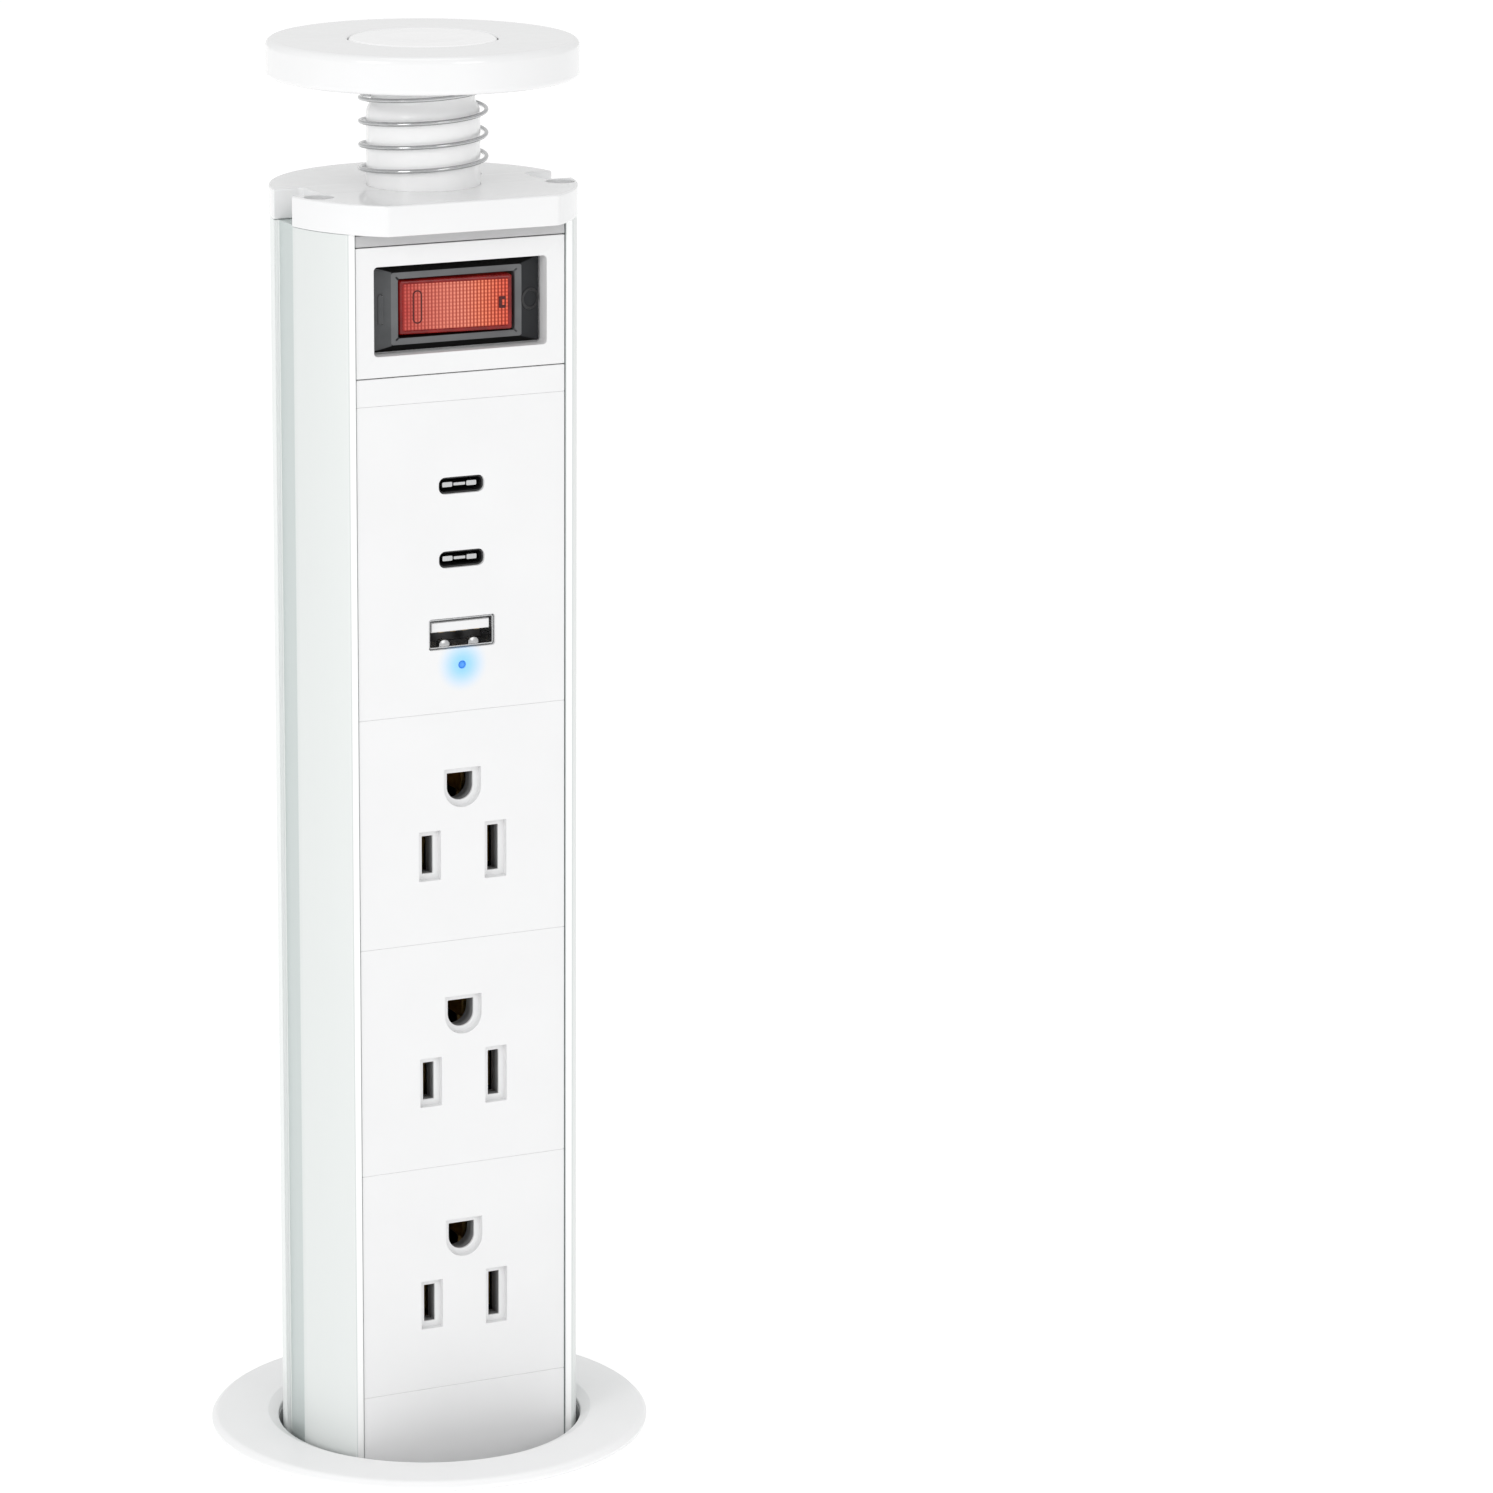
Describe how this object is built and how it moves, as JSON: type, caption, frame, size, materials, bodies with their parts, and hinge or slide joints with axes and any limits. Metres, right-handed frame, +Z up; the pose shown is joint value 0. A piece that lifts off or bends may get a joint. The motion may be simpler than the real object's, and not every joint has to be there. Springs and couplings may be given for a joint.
{
  "type": "pop-up desk power strip",
  "caption": "Pop-up desk power tower with a flush sprung lid, pull knob, lit rocker switch, USB ports and grounded outlets, sliding through a round desk collar.",
  "frame": {"origin": "on the tower's axis, in the plane of the desk surface that the flange and its gasket rest on", "axes": "+Z up along the tower, the socket panels face -Y, +X is to the right seen from the front"},
  "size_m": [0.08, 0.08, 0.3095],
  "materials": {
    "white_gloss": "polished moulded white",
    "white_satin": "fine satin moulded white",
    "collar_white": "smooth white moulding",
    "tower_aluminium": "white-silver satin anodised extrusion",
    "foam_rubber": "soft matt",
    "grey_plastic": "matt",
    "black_plastic": "semi-gloss",
    "red_lens": "clear red lens with a fine prism grid, lit from behind",
    "lamp_glass": "clear glass with an orange glow",
    "led_blue": "clear light pipe with a blue glow",
    "spring_steel": "bright drawn wire",
    "connector_steel": "bright sheet",
    "contact_brass": "bright stamped strip",
    "board_green": "solder mask",
    "wire_black": "insulation",
    "wire_red": "insulation",
    "wire_white": "insulation",
    "wire_green": "insulation"
  },
  "bodies": {
    "collar": {"desk_flange": "collar_white", "threaded_sleeve": "collar_white", "desk_gasket": "foam_rubber", "guide_shoe_left": "grey_plastic", "guide_shoe_right": "grey_plastic"},
    "clamp_washer": {"clamp_washer": "grey_plastic"},
    "clamp_nut": {"clamp_nut": "white_satin"},
    "tower": {"tower_extrusion": "tower_aluminium", "top_plate": "white_gloss", "top_plate_screw_left": "spring_steel", "top_plate_screw_right": "spring_steel", "pull_knob": "white_gloss", "knob_nut": "spring_steel", "lid_spring": "spring_steel", "top_filler_panel": "white_satin", "switch_panel": "white_satin", "spacer_panel": "white_satin", "usb_panel": "white_satin", "outlet_panel_1": "white_satin", "outlet_panel_2": "white_satin", "outlet_panel_3": "white_satin", "bottom_filler_panel": "white_satin", "switch_housing": "black_plastic", "switch_pivot_pin": "spring_steel", "indicator_lamp": "lamp_glass", "switch_terminal_1": "contact_brass", "switch_terminal_2": "contact_brass", "switch_terminal_3": "contact_brass", "usb_circuit_board": "board_green", "usb_c_shell_1": "connector_steel", "usb_c_tongue_1": "black_plastic", "usb_c_shell_2": "connector_steel", "usb_c_tongue_2": "black_plastic", "usb_a_shell": "connector_steel", "usb_a_tongue": "white_satin", "led_light_pipe": "led_blue", "charger_transformer": "grey_plastic", "charger_capacitor_left": "black_plastic", "charger_capacitor_right": "black_plastic", "outlet_rear_housing": "black_plastic", "live_bus": "contact_brass", "neutral_bus": "contact_brass", "ground_bus": "contact_brass", "live_wire": "wire_black", "switched_wire": "wire_red", "neutral_wire": "wire_white", "ground_wire": "wire_green", "bottom_cap": "white_satin", "bottom_cap_screw_left": "spring_steel", "bottom_cap_screw_right": "spring_steel", "gland_body": "white_satin", "gland_lock_nut": "white_satin", "gland_dome_nut": "white_satin", "gland_bush": "foam_rubber"},
    "lid": {"lid_disc": "white_gloss"},
    "rocker": {"rocker_button": "red_lens"}
  },
  "joints": [
    {"name": "tower_lift", "type": "slide", "parent": "collar", "child": "tower", "axis": [0, 0, 1], "range_m": [-0.2522, 0]},
    {"name": "lid_press", "type": "slide", "parent": "tower", "child": "lid", "axis": [0, 0, 1], "range_m": [-0.012, 0], "stiffness_N_per_m": 350, "springref_m": 0.004, "deforming": ["lid_spring"]},
    {"name": "rocker_tilt", "type": "hinge", "parent": "tower", "child": "rocker", "pos_m": [0, -0.011, 0.2091], "axis": [0, 0, 1], "range_deg": [0, 10]},
    {"name": "washer_slide", "type": "slide", "parent": "collar", "child": "clamp_washer", "axis": [0, 0, 1], "range_m": [-0.0061, 0.0191]},
    {"name": "nut_turn", "type": "hinge", "parent": "clamp_washer", "child": "clamp_nut", "pos_m": [0, 0, -0.0326], "axis": [0, 0, 1], "range_deg": [-540, 1710]}
  ],
  "couplings": [
    {"joint": "washer_slide", "follows": "nut_turn", "m_per_rad": 0.00063662}
  ]
}
